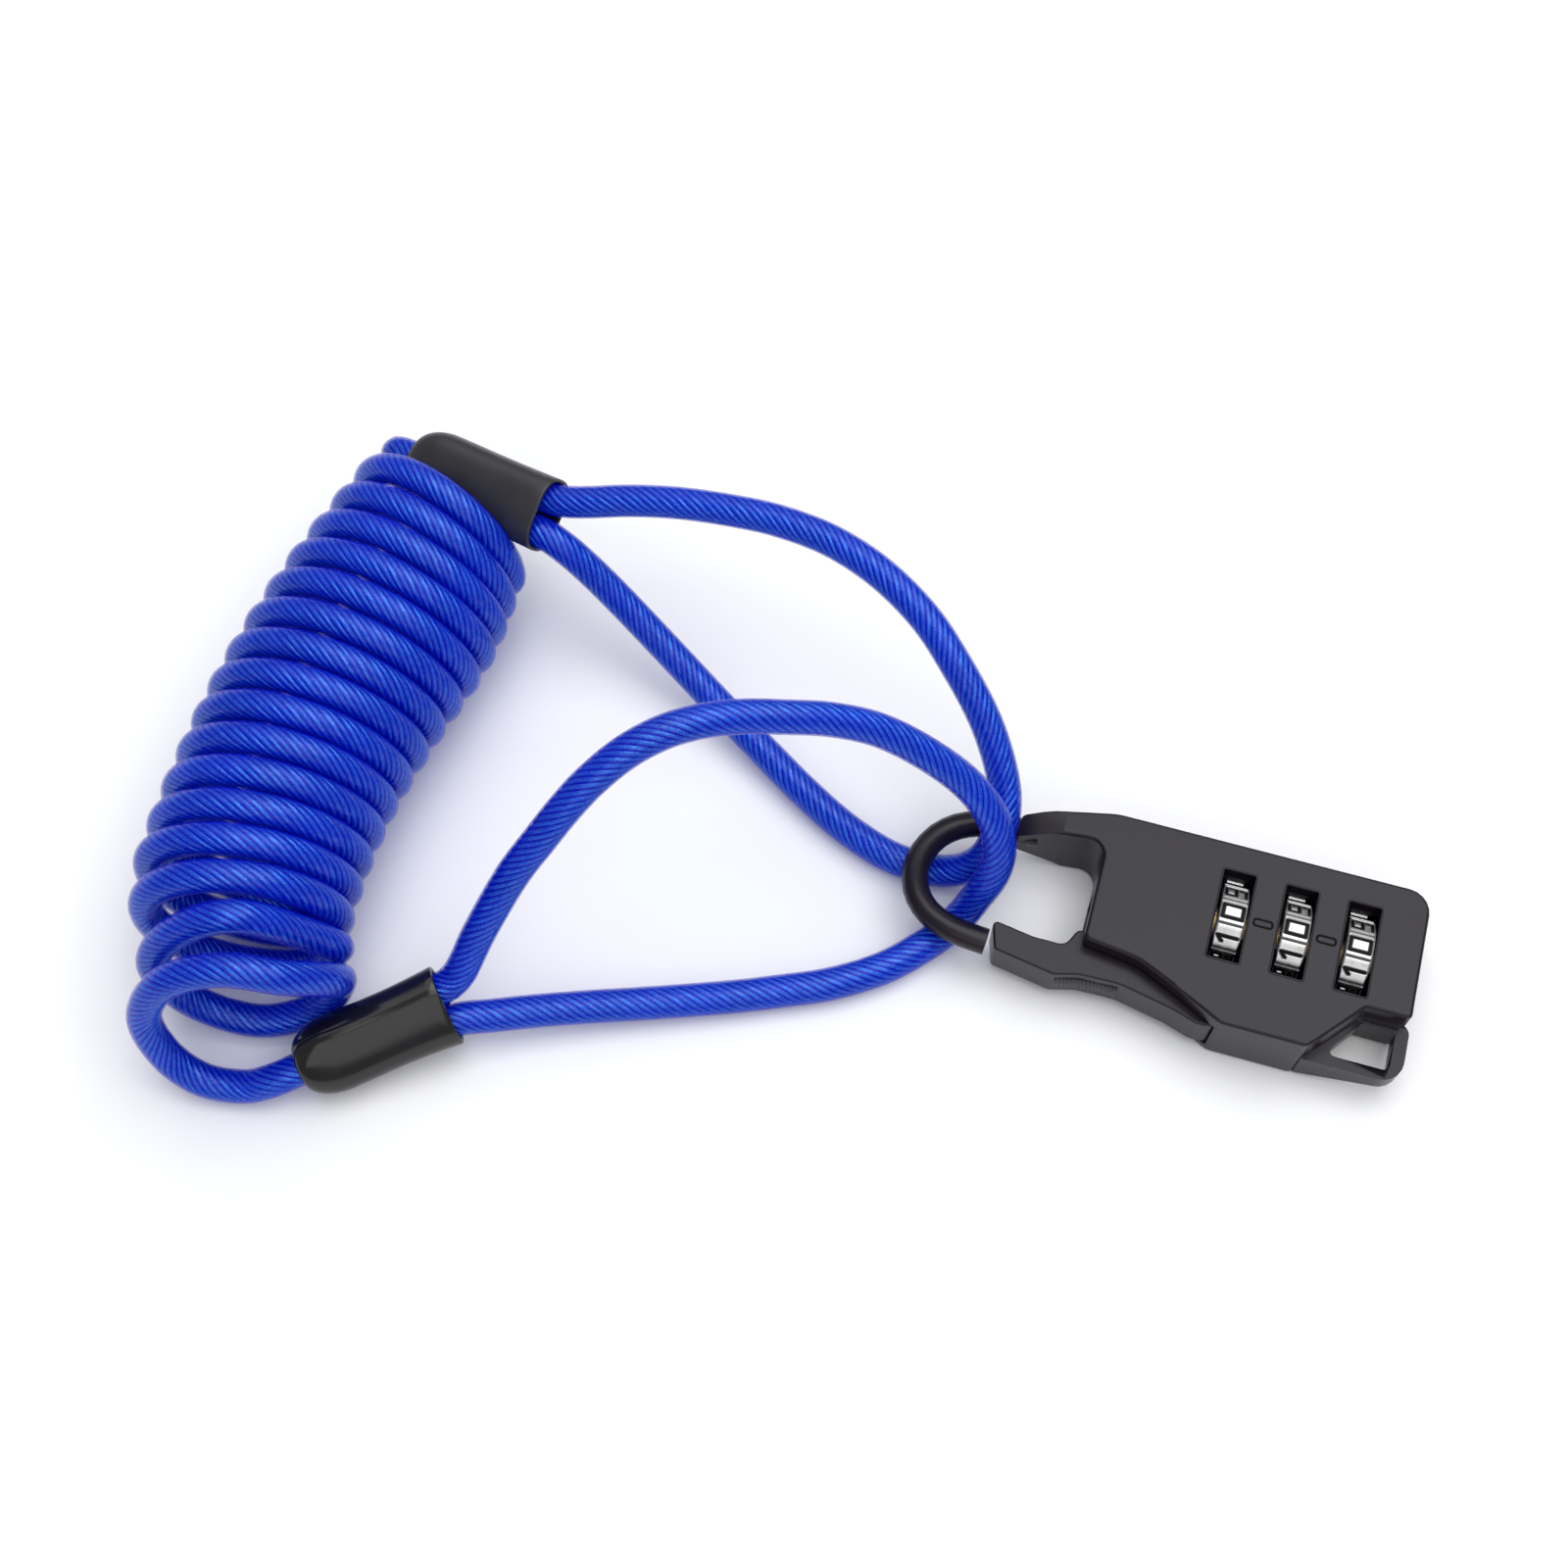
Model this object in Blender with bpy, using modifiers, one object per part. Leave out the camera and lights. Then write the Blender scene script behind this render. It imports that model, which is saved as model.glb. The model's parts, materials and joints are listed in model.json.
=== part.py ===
"""Coiled cable with a three-dial combination snap lock.

The lock lies on its back with its face up. Its nose points to -X, its tail to +X, and the
origin is the centre of the lock's footprint. Outlines are written in millimetres and turned
into metres where the solids are made.
"""
import math

import bmesh
import bpy
from mathutils import Matrix, Vector

MM = 0.001

# Lock body
FACE_Z = 12.2
PLATE_UNDER_Z = 9.9
COVER_LOW_Z = 0.15
COVER_HIGH_Z = 1.65
EDGE_ROUND = 0.55

# Hook rod that forms the nose
HOOK_RADIUS = 2.0

# Gate
GATE_LOW_Z = 2.1
GATE_HIGH_Z = 8.9
PIVOT_X = 9.3
PIVOT_Y = -9.6
PIN_RADIUS = 1.2
RUNNING_GAP = 0.3

# Dials
DIALS = 3
DIAL_PITCH = 9.2
FIRST_DIAL_X = 9.65
AXLE_Y = 2.5
AXLE_Z = 7.45
DIAL_RADIUS = 6.3
DIAL_WIDTH = 4.0
DIGITS = 10
HUB_RADIUS = 3.0
HUB_LENGTH = 7.0
HUB_POCKET_RADIUS = 2.45
HUB_POCKET_DEPTH = 5.4
WINDOW_WIDTH = 4.8
WINDOW_LENGTH = 14.2

# Spindle and detent
SPINDLE_RADIUS = 1.4
SPINDLE_LEFT_X = -0.1
SPINDLE_RIGHT_X = 28.9
FIN_THICKNESS = 0.9
FIN_SETBACK = 0.4
DETENT_Y = 9.75

# Cable and its end fittings
CABLE_RADIUS = 2.5
COIL_RADIUS = 15.7

# Outlines, with each corner's fillet radius
BODY_OUTLINE = [
    (-23.0, 10.6, 0), (-20.0, 11.6, 0), (-9.5, 14.0, 9), (33.6, 14.0, 0), (37.2, 14.0, 3.4),
    (37.2, -5.9, 0.8), (30.7, -5.9, 1.0), (24.9, -12.7, 0.6), (23.6, -14.0, 0), (11.2, -14.0, 3),
    (4.0, -10.3, 8), (-2.0, -7.6, 8), (-10.1, -6.6, 1.0), (-10.1, 9.2, 2.6), (-16.7, 8.5, 8),
    (-23.0, 7.0, 0),
]
COVER_OUTLINE = [
    (-8.2, 12.1, 1.5), (35.3, 12.1, 2.0), (35.3, -4.0, 0.8), (29.6, -4.0, 1.5), (22.9, -12.1, 1.0),
    (11.6, -12.1, 2.0), (4.8, -8.5, 6), (-1.6, -5.8, 6), (-8.2, -5.0, 0.8),
]
CAVITY_OUTLINE = [
    (-7.2, 11.2, 1.0), (34.4, 11.2, 1.5), (34.4, -3.0, 0.8), (29.0, -3.0, 1.2), (22.3, -11.0, 1.0),
    (12.0, -11.0, 1.0), (5.5, -7.6, 3), (-1.0, -4.8, 3), (-7.2, -4.0, 0.8),
]
GATE_OUTLINE = [
    (-22.1, -10.6, 0.7), (-13.0, -12.1, 1.0), (-9.3, -11.1, 5), (-3.6, -10.9, 9), (4.4, -12.5, 5),
    (8.2, -13.7, 2), (13.4, -13.7, 4.0), (13.4, -5.5, 4.0), (3.4, -5.5, 1.0), (-0.5, -4.8, 1.5),
    (-0.5, 3.5, 1.15), (-2.8, 3.5, 1.15), (-4.9, -4.9, 2), (-11.0, -4.1, 1.2), (-12.3, -7.1, 1.6),
    (-17.0, -7.1, 4), (-23.4, -6.1, 0.7),
]
EYE_OUTLINE = [
    (23.9, -13.9, 0), (38.2, -13.9, 3.4), (38.2, -4.8, 1.5), (30.0, -4.8, 0), (23.9, -12.4, 0),
]
EYE_HOLE = [(27.0, -11.1, 0.6), (35.8, -11.1, 0.9), (35.8, -6.2, 0.6), (31.2, -6.2, 0.6)]
EYE_LOW_Z = 0.6
EYE_HIGH_Z = 6.6

# Webs between the dials, as spans along X, and the cover screws
WEBS = [(4.9, 5.8), (13.75, 14.75), (22.95, 23.95), (31.95, 32.55)]
SCREWS = [(-5.0, 8.8), (32.9, 10.0), (18.9, -8.4)]

# Centrelines, as points along the piece
HOOK_ROUTE = [
    (-20.0, 9.2, 8.3), (-23.0, 9.0, 8.1), (-26.0, 8.9, 7.9), (-28.9, 8.6, 7.8), (-32.0, 7.2, 7.8),
    (-34.4, 4.9, 7.8), (-35.9, 1.8, 7.8), (-36.2, -1.4, 7.8), (-35.3, -4.4, 7.8), (-33.6, -6.6, 7.8),
    (-31.5, -8.0, 7.8), (-28.9, -8.9, 7.8), (-26.2, -9.3, 7.8), (-23.5, -9.5, 7.8),
]
LOOP_A_ROUTE = [
    (-108.3, 36.4, 24.6), (-103.0, 34.8, 25.6), (-98.4, 35.0, 26.6), (-91.2, 36.4, 28.0),
    (-83.1, 37.4, 29.2), (-74.2, 37.8, 30.0), (-67.8, 37.6, 30.4), (-59.9, 36.3, 30.6),
    (-51.6, 33.3, 30.0), (-43.7, 28.8, 28.3), (-37.3, 23.6, 25.5), (-32.1, 19.0, 21.9),
    (-28.6, 14.9, 18.4), (-26.4, 11.2, 15.5), (-25.6, 8.0, 13.7), (-25.8, 5.3, 11.4), (-27.1, 3.2, 8.0),
    (-29.6, 2.1, 4.9), (-33.0, 1.6, 3.0), (-37.0, 1.6, 2.6), (-42.0, 2.3, 2.6), (-48.9, 4.9, 2.6),
    (-56.2, 8.7, 3.0), (-63.7, 13.1, 3.8), (-71.5, 17.5, 5.4), (-78.4, 21.2, 7.8), (-86.0, 24.9, 11.4),
    (-92.8, 27.6, 15.9), (-97.4, 28.8, 19.8), (-100.6, 29.5, 22.0), (-103.8, 30.3, 22.9),
    (-109.0, 31.8, 22.0),
]
LOOP_B_ROUTE = [
    (-101.1, -42.5, 9.3), (-96.8, -39.0, 9.9), (-94.6, -36.5, 11.6), (-92.4, -31.8, 17.6),
    (-88.8, -25.6, 25.8), (-85.5, -21.2, 31.2), (-82.9, -17.6, 35.0), (-80.0, -13.8, 38.2),
    (-76.1, -9.6, 41.0), (-71.7, -5.9, 42.4), (-67.0, -2.9, 42.5), (-62.2, -0.5, 41.8),
    (-57.3, 1.5, 40.5), (-51.1, 4.1, 38.2), (-44.5, 5.8, 35.2), (-37.3, 6.0, 31.0), (-31.0, 5.2, 26.4),
    (-26.8, 3.4, 21.8), (-24.9, 1.2, 17.3), (-24.9, -0.9, 12.9), (-26.3, -2.7, 8.3), (-27.8, -4.7, 4.7),
    (-29.6, -7.2, 2.9), (-32.4, -10.8, 2.6), (-37.1, -15.6, 2.6), (-43.6, -20.0, 2.6),
    (-50.2, -23.1, 2.6), (-56.8, -26.0, 2.8), (-63.5, -28.7, 3.1), (-70.1, -31.3, 3.5),
    (-76.8, -33.9, 4.0), (-83.3, -36.6, 4.6), (-89.4, -39.4, 5.3), (-94.1, -41.7, 6.1),
    (-98.4, -45.2, 5.6),
]
COIL_AXIS = [
    (-121.2, 27.0, 15.8), (-123.2, 17.0, 15.8), (-126.0, 4.0, 15.8), (-128.0, -9.0, 15.8),
    (-128.6, -22.0, 15.8), (-127.6, -33.0, 15.8), (-125.6, -40.5, 15.8),
]
LEAD_A_ROUTE = [
    (-112.8, 29.4, 6.2), (-117.4, 31.2, 3.2), (-122.6, 34.8, 2.7), (-127.8, 38.4, 4.8),
    (-131.6, 40.8, 9.4), (-132.6, 41.4, 14.4), (-131.9, 40.8, 18.2), (-129.0, 39.9, 19.6),
    (-122.0, 37.9, 20.9),
]
LEAD_B_ROUTE = [
    (-121.6, -42.3, 28.4), (-130.5, -45.5, 24.6), (-135.4, -48.4, 15.6), (-131.7, -49.5, 6.2),
    (-122.4, -48.8, 2.7), (-114.2, -45.2, 5.0), (-110.3, -42.9, 12.4), (-109.2, -45.2, 20.4),
    (-113.6, -48.4, 26.4), (-121.2, -50.2, 28.4), (-129.2, -53.0, 24.6), (-133.6, -56.0, 15.6),
    (-131.6, -58.4, 7.4), (-126.6, -59.5, 3.5), (-120.7, -58.7, 2.9), (-116.6, -57.2, 4.6),
    (-113.4, -54.9, 5.5), (-110.0, -52.1, 6.0),
]

# End sleeves: closed end, open mouth and the direction across the two cable ends
SLEEVE_A = ((-127.9, 39.6, 19.8), (-103.4, 32.6, 24.3), (0.17, 0.85, 0.50))
SLEEVE_B = ((-113.1, -54.6, 5.6), (-95.5, -40.4, 8.0), (-0.52, 0.49, 0.70))
SLEEVE_WIDTH = 11.4
SLEEVE_HEIGHT = 7.6
SLEEVE_END_WALL = 2.5
FERRULE_DEPTH = 5.8
FERRULE_LENGTH = 12.0


def make_collection(name):
    """A new collection in the scene."""
    collection = bpy.data.collections.new(name)
    bpy.context.scene.collection.children.link(collection)
    return collection


def clear_scene():
    """Remove whatever objects the scene starts with."""
    for obj in list(bpy.data.objects):
        bpy.data.objects.remove(obj, do_unlink=True)


clear_scene()
PARTS = make_collection("cable_lock")
CUTTERS = make_collection("cutters")


def make_material(name, colour, roughness, metallic):
    """A plain Principled material."""
    material = bpy.data.materials.new(name)
    material.use_nodes = True
    shader = material.node_tree.nodes["Principled BSDF"]
    shader.inputs["Base Color"].default_value = (*colour, 1.0)
    shader.inputs["Roughness"].default_value = roughness
    shader.inputs["Metallic"].default_value = metallic
    return material


BLACK_PAINT = make_material("black_paint", (0.020, 0.019, 0.023), 0.38, 0.0)
CHROME = make_material("chrome", (0.75, 0.75, 0.76), 0.14, 1.0)
STEEL = make_material("steel", (0.46, 0.46, 0.47), 0.32, 1.0)
BRASS = make_material("brass", (0.62, 0.46, 0.20), 0.32, 1.0)
ALUMINIUM = make_material("aluminium", (0.66, 0.67, 0.68), 0.38, 1.0)
BLUE_CABLE = make_material("blue_cable", (0.012, 0.045, 0.52), 0.16, 0.0)
BLACK_VINYL = make_material("black_vinyl", (0.022, 0.021, 0.025), 0.45, 0.0)


# Points and outlines

def rounded(corners, steps=5):
    """An outline in metres: each corner's third value is the radius of its fillet in millimetres."""
    outline = []
    count = len(corners)
    for index, (x, y, radius) in enumerate(corners):
        corner = Vector((x, y))
        before = (Vector(corners[index - 1][:2]) - corner).normalized()
        after = (Vector(corners[(index + 1) % count][:2]) - corner).normalized()
        half_angle = before.angle(after) / 2
        if radius == 0 or math.pi / 2 - half_angle < 0.02:
            outline.append(corner * MM)
            continue
        middle = corner + (before + after).normalized() * radius / math.sin(half_angle)
        start = corner + before * radius / math.tan(half_angle) - middle
        turn = start.angle_signed(corner + after * radius / math.tan(half_angle) - middle)
        arc_steps = max(2, round(steps * abs(turn) / (math.pi / 2)))
        for step in range(arc_steps + 1):
            angle = -turn * step / arc_steps
            spoke = Matrix.Rotation(angle, 2) @ start
            outline.append((middle + spoke) * MM)
    return outline


def circle(x, y, radius, count):
    """A round outline in metres about a centre given in millimetres."""
    angles = [2 * math.pi * step / count for step in range(count)]
    return [Vector((x + radius * math.cos(a), y + radius * math.sin(a))) * MM for a in angles]


def smooth_route(route, spacing):
    """Points in metres along a smooth curve through a route given in millimetres."""
    points = [Vector(point) for point in route]
    points = [2 * points[0] - points[1]] + points + [2 * points[-1] - points[-2]]
    result = []
    for p0, p1, p2, p3 in zip(points, points[1:], points[2:], points[3:]):
        steps = max(1, round((p2 - p1).length / spacing))
        for step in range(steps):
            t = step / steps
            bend = (p2 - p0) * t + (2 * p0 - 5 * p1 + 4 * p2 - p3) * t ** 2
            bend += (3 * p1 - p0 - 3 * p2 + p3) * t ** 3
            result.append((p1 + bend / 2) * MM)
    result.append(points[-2] * MM)
    return result


# Solids

def place(obj, material):
    """File an object as a part with its material, or as a hidden cutter where it has none."""
    if material is None:
        CUTTERS.objects.link(obj)
        obj.hide_render = True
        obj.display_type = "WIRE"
    else:
        PARTS.objects.link(obj)
        obj.data.materials.clear()
        obj.data.materials.append(material)
    return obj


def welded(mesh):
    """Join the vertices of a mesh that share a place, merge its flat faces and turn them outwards."""
    cage = bmesh.new()
    cage.from_mesh(mesh)
    bmesh.ops.remove_doubles(cage, verts=cage.verts, dist=1e-6)
    bmesh.ops.dissolve_limit(cage, angle_limit=math.radians(0.2), verts=cage.verts, edges=cage.edges)
    bmesh.ops.recalc_face_normals(cage, faces=cage.faces)
    cage.to_mesh(mesh)
    cage.free()
    return mesh


def mesh_of_curve(curve, name):
    """A mesh object made from curve data, with the curve's loose caps welded."""
    carrier = bpy.data.objects.new(name + "_curve", curve)
    bpy.context.scene.collection.objects.link(carrier)
    evaluated = carrier.evaluated_get(bpy.context.evaluated_depsgraph_get())
    mesh = welded(bpy.data.meshes.new_from_object(evaluated))
    bpy.data.objects.remove(carrier, do_unlink=True)
    return bpy.data.objects.new(name, mesh)


def plate(name, outlines, low, high, material=None, upright=False):
    """A flat outline, with any holes, given thickness along Z, or along Y where it stands upright."""
    curve = bpy.data.curves.new(name, "CURVE")
    curve.dimensions = "2D"
    curve.fill_mode = "BOTH"
    curve.extrude = (high - low) / 2 * MM
    for outline in outlines:
        spline = curve.splines.new("POLY")
        spline.points.add(len(outline) - 1)
        spline.use_cyclic_u = True
        for point, (x, y) in zip(spline.points, outline):
            point.co = (x, y, 0, 1)
    obj = mesh_of_curve(curve, name)
    middle = (low + high) / 2 * MM
    if upright:
        obj.data.transform(Matrix.Translation((0, middle, 0)) @ Matrix.Rotation(math.pi / 2, 4, "X"))
    else:
        obj.data.transform(Matrix.Translation((0, 0, middle)))
    return place(obj, material)


def block(name, low, high, material=None):
    """A box between two corners given in millimetres."""
    low, high = Vector(low), Vector(high)
    mesh = bpy.data.meshes.new(name)
    cage = bmesh.new()
    bmesh.ops.create_cube(cage, size=1.0)
    bmesh.ops.scale(cage, vec=(high - low) * MM, verts=cage.verts)
    bmesh.ops.translate(cage, vec=(high + low) / 2 * MM, verts=cage.verts)
    cage.to_mesh(mesh)
    cage.free()
    return place(bpy.data.objects.new(name, mesh), material)


def rod(name, start, end, radius, material=None, sides=24):
    """A cylinder between two points given in millimetres."""
    start, end = Vector(start), Vector(end)
    mesh = bpy.data.meshes.new(name)
    cage = bmesh.new()
    bmesh.ops.create_cone(cage, cap_ends=True, segments=sides, radius1=radius * MM, radius2=radius * MM,
                          depth=(end - start).length * MM)
    turn = Vector((0, 0, 1)).rotation_difference(end - start).to_matrix().to_4x4()
    bmesh.ops.transform(cage, matrix=Matrix.Translation((start + end) / 2 * MM) @ turn, verts=cage.verts)
    cage.to_mesh(mesh)
    cage.free()
    obj = place(bpy.data.objects.new(name, mesh), material)
    mesh.shade_smooth()
    mesh.set_sharp_from_angle(angle=math.radians(40))
    return obj


def tube_curve(name, points, radius, resolution):
    """Curve data for a round tube with filled caps through points in metres."""
    curve = bpy.data.curves.new(name, "CURVE")
    curve.dimensions = "3D"
    curve.bevel_depth = radius * MM
    curve.bevel_resolution = resolution
    curve.use_fill_caps = True
    spline = curve.splines.new("POLY")
    spline.points.add(len(points) - 1)
    for point, place_at in zip(spline.points, points):
        point.co = (*place_at, 1)
    return curve


def tube(name, points, radius, material, resolution=2):
    """A tube that stays a curve object."""
    obj = bpy.data.objects.new(name, tube_curve(name, points, radius, resolution))
    return place(obj, material)


def combine(target, operation, tools):
    """Cut the tools out of the target, or join them to it."""
    for tool in tools:
        modifier = target.modifiers.new(operation.lower() + "_" + tool.name, "BOOLEAN")
        modifier.operation = operation
        modifier.object = tool
    return target


def cut(target, *tools):
    """Take the tools away from the target."""
    return combine(target, "DIFFERENCE", tools)


def join(target, *tools):
    """Add the tools to the target."""
    return combine(target, "UNION", tools)


def soften(obj, width, segments=2):
    """Round the sharp edges of a solid."""
    bevel = obj.modifiers.new("soft_edges", "BEVEL")
    bevel.width = width * MM
    bevel.segments = segments
    bevel.limit_method = "ANGLE"
    bevel.angle_limit = math.radians(40)
    bevel.use_clamp_overlap = False
    return obj


def set_origin(obj, x, y, z):
    """Move an object's origin to a point given in millimetres, with its solid left in place."""
    origin = Vector((x, y, z)) * MM
    obj.data.transform(Matrix.Translation(-origin))
    obj.location = origin


def dial_x(index):
    """The middle of a dial along the axle, in millimetres."""
    return FIRST_DIAL_X + DIAL_PITCH * index


# Lock body

def make_front_case():
    """The casting: face plate, side walls, hook and lanyard eye, with its hollow open to the back."""
    case = soften(plate("front_case", [rounded(BODY_OUTLINE)], 0, FACE_Z, BLACK_PAINT), EDGE_ROUND)
    arm_top = [Vector(p) * MM for p in ((-16.5, 12.21), (-26.0, 9.4), (-26.0, 14.0), (-16.5, 14.0))]
    arm_bottom = [Vector(p) * MM for p in ((-14.4, -0.5), (-23.5, 6.3), (-26.0, 6.3), (-26.0, -0.5))]
    cut(case, plate("cut_arm_top", [arm_top], 4, 20, upright=True))
    cut(case, plate("cut_arm_bottom", [arm_bottom], 4, 20, upright=True))
    hook = mesh_of_curve(tube_curve("hook", smooth_route(HOOK_ROUTE, 1.6), HOOK_RADIUS, 4), "hook")
    join(case, place(hook, None), plate("lanyard_eye", [rounded(EYE_OUTLINE)], EYE_LOW_Z, EYE_HIGH_Z))
    cut(case, plate("cut_eye", [rounded(EYE_HOLE, 3)], -1, EYE_HIGH_Z + 1))
    hollow_case(case)
    fit_out_case(case)
    return case


def hollow_case(case):
    """Cut the cover recess, the mechanism's cavity and the gate's pocket."""
    pocket = [(-12, -20), (PIVOT_X, -20), (PIVOT_X, -5.1), (-2, -3), (-6.5, 2.4), (-12, 2.4)]
    low, high = GATE_LOW_Z - RUNNING_GAP, GATE_HIGH_Z + 0.4
    heel_radius = 4.45
    cut(
        case,
        plate("cut_cover", [rounded(COVER_OUTLINE)], -1, COVER_HIGH_Z + RUNNING_GAP),
        plate("cut_cavity", [rounded(CAVITY_OUTLINE, 3)], -1, PLATE_UNDER_Z),
        plate("cut_gate_pocket", [[Vector(p) * MM for p in pocket]], low, high),
        rod("cut_gate_heel", (PIVOT_X, PIVOT_Y, low), (PIVOT_X, PIVOT_Y, high), heel_radius, sides=32),
        rod("cut_hub_channel", (4.0, AXLE_Y, AXLE_Z), (33.0, AXLE_Y, AXLE_Z), HUB_RADIUS + RUNNING_GAP),
    )


def fit_out_case(case):
    """Add the axle webs and screw bosses, then cut their holes and the dial windows."""
    for index, (low_x, high_x) in enumerate(WEBS):
        join(case, block(f"web_{index}", (low_x, -3.6, 2.2), (high_x, 8.9, PLATE_UNDER_Z + 1.2)))
        slot_low = (low_x - 0.3, AXLE_Y - SPINDLE_RADIUS - RUNNING_GAP, 0)
        slot_high = (high_x + 0.3, AXLE_Y + SPINDLE_RADIUS + RUNNING_GAP, AXLE_Z)
        cut(case, block(f"cut_web_{index}", slot_low, slot_high))
    for index, (x, y) in enumerate(SCREWS):
        join(case, rod(f"boss_{index}", (x, y, 2.2), (x, y, PLATE_UNDER_Z + 0.6), 1.8, sides=16))
        cut(case, rod(f"cut_boss_{index}", (x, y, 0), (x, y, 7.2), 1.2, sides=12))
    cut(case, rod("cut_axle", (4.0, AXLE_Y, AXLE_Z), (33.0, AXLE_Y, AXLE_Z), SPINDLE_RADIUS + RUNNING_GAP))
    pin_low, pin_high = (PIVOT_X, PIVOT_Y, 9.0), (PIVOT_X, PIVOT_Y, 11.2)
    cut(case, rod("cut_pin", pin_low, pin_high, PIN_RADIUS + RUNNING_GAP, sides=16))
    for index in range(DIALS):
        low_x = dial_x(index) - WINDOW_WIDTH / 2
        high_x = dial_x(index) + WINDOW_WIDTH / 2
        low = (low_x, AXLE_Y - WINDOW_LENGTH / 2, AXLE_Z)
        high = (high_x, AXLE_Y + WINDOW_LENGTH / 2, FACE_Z + 1)
        well = rod(f"cut_well_{index}", (low_x, AXLE_Y, AXLE_Z), (high_x, AXLE_Y, AXLE_Z),
                   DIAL_RADIUS + RUNNING_GAP)
        cut(case, block(f"cut_window_{index}", low, high), well)


def make_back_cover():
    """The inset plate that closes the back, with hollows for the dials and screw seats."""
    outline = inset(rounded(COVER_OUTLINE), RUNNING_GAP)
    cover = plate("back_cover", [outline], COVER_LOW_Z, COVER_HIGH_Z, BLACK_PAINT)
    for index in range(DIALS):
        x = dial_x(index)
        half = WINDOW_WIDTH / 2
        cut(cover, rod(f"cut_cover_dial_{index}", (x - half, AXLE_Y, AXLE_Z), (x + half, AXLE_Y, AXLE_Z),
                       DIAL_RADIUS + RUNNING_GAP, sides=40))
    for index, (x, y) in enumerate(SCREWS):
        cut(cover, rod(f"cut_cover_screw_{index}", (x, y, -1), (x, y, 3), 1.2, sides=12))
        cut(cover, rod(f"cut_cover_head_{index}", (x, y, -1), (x, y, 1.15), 2.1, sides=16))
    return cover


def inset(outline, gap):
    """An outline moved inwards by a gap in millimetres, for an outline that runs clockwise."""
    moved = []
    for index, point in enumerate(outline):
        before = (point - outline[index - 1]).normalized()
        after = (outline[(index + 1) % len(outline)] - point).normalized()
        normal_before = Vector((before.y, -before.x))
        normal_after = Vector((after.y, -after.x))
        between = (normal_before + normal_after).normalized()
        moved.append(point + between * gap * MM / max(0.5, between.dot(normal_after)))
    return moved


def make_screws():
    """The screws that hold the back cover, heads at the back."""
    for index, (x, y) in enumerate(SCREWS):
        screw = rod(f"cover_screw_{index + 1}", (x, y, 0.2), (x, y, 0.85), 1.8, STEEL, 16)
        join(screw, rod(f"shank_{index}", (x, y, 0.7), (x, y, 6.6), 0.9, sides=12))
        cut(screw, block(f"cut_driver_{index}", (x - 1.3, y - 0.25, 0), (x + 1.3, y + 0.25, 0.5)))


# Gate

def make_gate():
    """The thumb gate with its heel round the pivot pin and the lug that pushes the spindle."""
    gate = soften(plate("gate", [rounded(GATE_OUTLINE, 4)], GATE_LOW_Z, GATE_HIGH_Z, BLACK_PAINT), 0.35)
    centre = (PIVOT_X, PIVOT_Y)
    cut(gate, rod("cut_gate_pin", (*centre, 0), (*centre, 12), PIN_RADIUS + RUNNING_GAP, sides=16))
    cut(gate, rod("cut_gate_spring", (*centre, 6.2), (*centre, 12), 2.9, sides=20))
    set_origin(gate, PIVOT_X, PIVOT_Y, GATE_LOW_Z)
    rod("gate_pivot_pin", (*centre, 1.98), (*centre, 10.9), PIN_RADIUS, STEEL, 16)


def coil_points(centre, axis, radius, pitch, turns, steps=10):
    """Points in metres along a round spring about an X or a Z axis."""
    points = []
    for step in range(turns * steps + 1):
        angle = 2 * math.pi * step / steps
        across, up = radius * math.cos(angle), radius * math.sin(angle)
        rise = pitch * step / steps
        offset = (rise, across, up) if axis == "X" else (across, up, rise)
        points.append((Vector(centre) + Vector(offset)) * MM)
    return points


def make_springs():
    """The gate's torsion coil, the spindle's compression coil and the dials' detent leaf."""
    gate_coil = coil_points((PIVOT_X, PIVOT_Y, 6.8), "Z", 2.15, 0.7, 2)
    tube("gate_spring", gate_coil, 0.28, STEEL, 1)
    tube("spindle_spring", coil_points((32.95, AXLE_Y, AXLE_Z), "X", 1.0, 0.5, 2), 0.18, STEEL, 1)
    leaf = block("detent_leaf", (5.2, DETENT_Y, 5.0), (30.8, DETENT_Y + 0.4, 9.4), STEEL)
    for index in range(DIALS):
        x = dial_x(index)
        finger = ((x - 1.2, DETENT_Y, AXLE_Z), (x + 1.2, DETENT_Y, AXLE_Z))
        join(leaf, rod(f"detent_finger_{index}", *finger, 0.55, sides=12))


# Dials

def dial_outline():
    """Ten slightly crowned cells with a narrow groove between each two."""
    outline = []
    cell = 2 * math.pi / DIGITS
    for index in range(DIGITS):
        middle = cell * index
        for share in (-0.42, -0.21, 0.0, 0.21, 0.42):
            angle = middle + cell * share
            outline.append(Vector((math.cos(angle), math.sin(angle))) * DIAL_RADIUS * MM)
        groove = middle + cell / 2
        outline.append(Vector((math.cos(groove), math.sin(groove))) * (DIAL_RADIUS - 0.35) * MM)
    return outline


def make_dials():
    """Three number dials, each on its own hub."""
    for index in range(DIALS):
        x = dial_x(index)
        bore = circle(0, 0, HUB_RADIUS + 0.2, 24)
        half = DIAL_WIDTH / 2
        dial = plate(f"number_dial_{index + 1}", [dial_outline(), bore], -half, half, CHROME)
        dial.data.transform(Matrix.Rotation(-math.pi / 2, 4, "Y"))
        dial.location = Vector((x, AXLE_Y, AXLE_Z)) * MM
        make_hub(index, x)


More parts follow.
